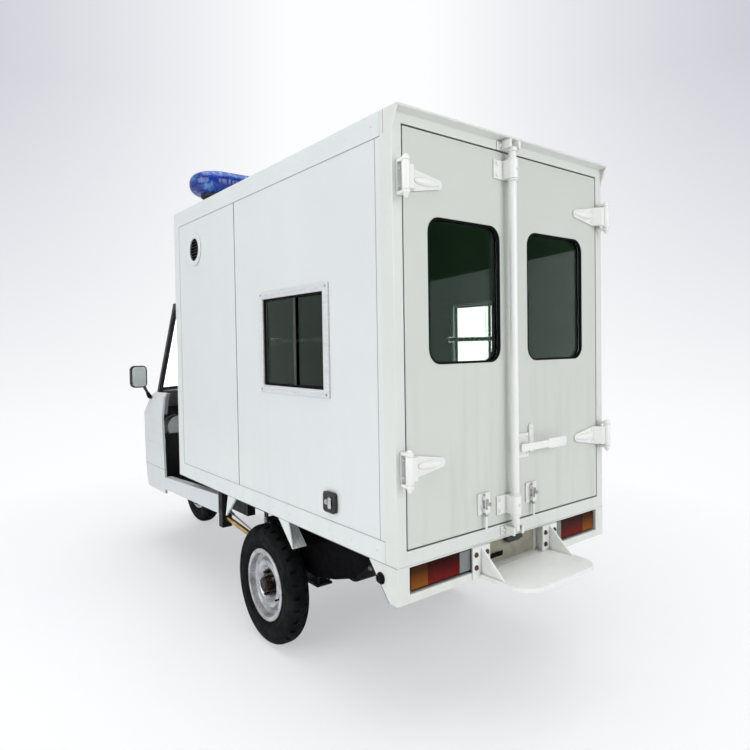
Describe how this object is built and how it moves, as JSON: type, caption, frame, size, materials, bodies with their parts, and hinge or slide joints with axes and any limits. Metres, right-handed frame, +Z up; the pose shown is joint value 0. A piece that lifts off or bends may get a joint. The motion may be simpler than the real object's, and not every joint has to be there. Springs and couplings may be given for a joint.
{
  "type": "ambulance tricycle",
  "caption": "Motor tricycle with a closed white patient box, hinged rear doors with a lock bar, an open-sided cab, a roof light bar and a single steered front wheel.",
  "frame": {"origin": "on the floor, under the middle of the outline's length and width", "axes": "+X forward, +Y left, +Z up"},
  "size_m": [3.7216, 1.358, 2.379],
  "materials": {
    "paint": "gloss white",
    "panel": "gloss white glass-fibre skin",
    "black_steel": "satin black",
    "dark_steel": "satin dark grey",
    "cast": "as cast",
    "zinc": "yellow zinc",
    "steel": "satin",
    "alu": "satin anodised",
    "grey": "grained grey",
    "black_plastic": "grained black",
    "smoke": "dark tinted",
    "screen": "clear",
    "clear": "clear lens",
    "red": "red lens",
    "amber": "amber lens",
    "blue": "blue lens",
    "tyre": "matt black",
    "rim": "silver",
    "seat": "black vinyl",
    "vinyl": "green vinyl",
    "sheet": "satin grey"
  },
  "bodies": {
    "vehicle": {"chassis_frame": "black_steel", "outriggers": "black_steel", "leaf_springs": "dark_steel", "rear_axle": "dark_steel", "drive_shaft": "black_steel", "torque_rods": "zinc", "engine": "cast", "exhaust": "steel", "cab_floor": "black_plastic", "cab_sills": "paint", "front_cowl": "paint", "lower_cowl": "paint", "dash": "grey", "windscreen_frame": "black_plastic", "windscreen": "screen", "cab_roof": "paint", "seat_box": "black_plastic", "driver_seat": "seat", "mirrors": "black_plastic", "headlamps": "clear", "box_floor": "sheet", "box_left_wall": "panel", "box_right_wall": "panel", "box_front_wall": "panel", "box_roof": "panel", "rear_frame": "paint", "hinge_brackets": "paint", "side_window_frames": "alu", "side_window_glass": "smoke", "vent_fan": "steel", "side_lock": "black_plastic", "light_bar": "blue", "light_bar_base": "black_plastic", "hand_rails": "steel", "rear_bumper": "paint", "lamps_clear": "clear", "lamps_red": "red", "lamps_amber": "amber", "rear_step": "paint", "mudguards": "paint", "splash_aprons": "black_plastic", "stretcher": "alu", "mattress": "vinyl"},
    "left_door": {"left_door": "panel", "left_door_glass": "smoke", "left_door_hinges": "paint", "lock_bar": "paint"},
    "right_door": {"right_door": "panel", "right_door_glass": "smoke", "right_door_hinges": "paint", "door_handle": "paint"},
    "steering": {"fork": "black_steel", "handlebar": "black_steel", "front_mudguard": "black_plastic"},
    "front_wheel": {"front_tyre": "tyre", "front_rim": "rim"},
    "rear_left_wheel": {"rear_left_tyre": "tyre", "rear_left_rim": "rim"},
    "rear_right_wheel": {"rear_right_tyre": "tyre", "rear_right_rim": "rim"}
  },
  "joints": [
    {"name": "left_door_swing", "type": "hinge", "parent": "vehicle", "child": "left_door", "pos_m": [-1.66784, 0.586, 1.47], "axis": [0, 0, -1], "range_deg": [0, 240]},
    {"name": "right_door_swing", "type": "hinge", "parent": "vehicle", "child": "right_door", "pos_m": [-1.66784, -0.586, 1.47], "axis": [0, 0, 1], "range_deg": [0, 240]},
    {"name": "steering_turn", "type": "hinge", "parent": "vehicle", "child": "steering", "pos_m": [1.52716, 0, 0.277], "axis": [-0.4384, 0, 0.8988], "range_deg": [-32, 32]},
    {"name": "front_wheel_spin", "type": "hinge", "parent": "steering", "child": "front_wheel", "pos_m": [1.57216, 0, 0.277], "axis": [0, 1, 0], "continuous": true},
    {"name": "rear_left_wheel_spin", "type": "hinge", "parent": "vehicle", "child": "rear_left_wheel", "pos_m": [-0.59384, 0.529, 0.277], "axis": [0, 1, 0], "continuous": true},
    {"name": "rear_right_wheel_spin", "type": "hinge", "parent": "vehicle", "child": "rear_right_wheel", "pos_m": [-0.59384, -0.529, 0.277], "axis": [0, 1, 0], "continuous": true}
  ]
}
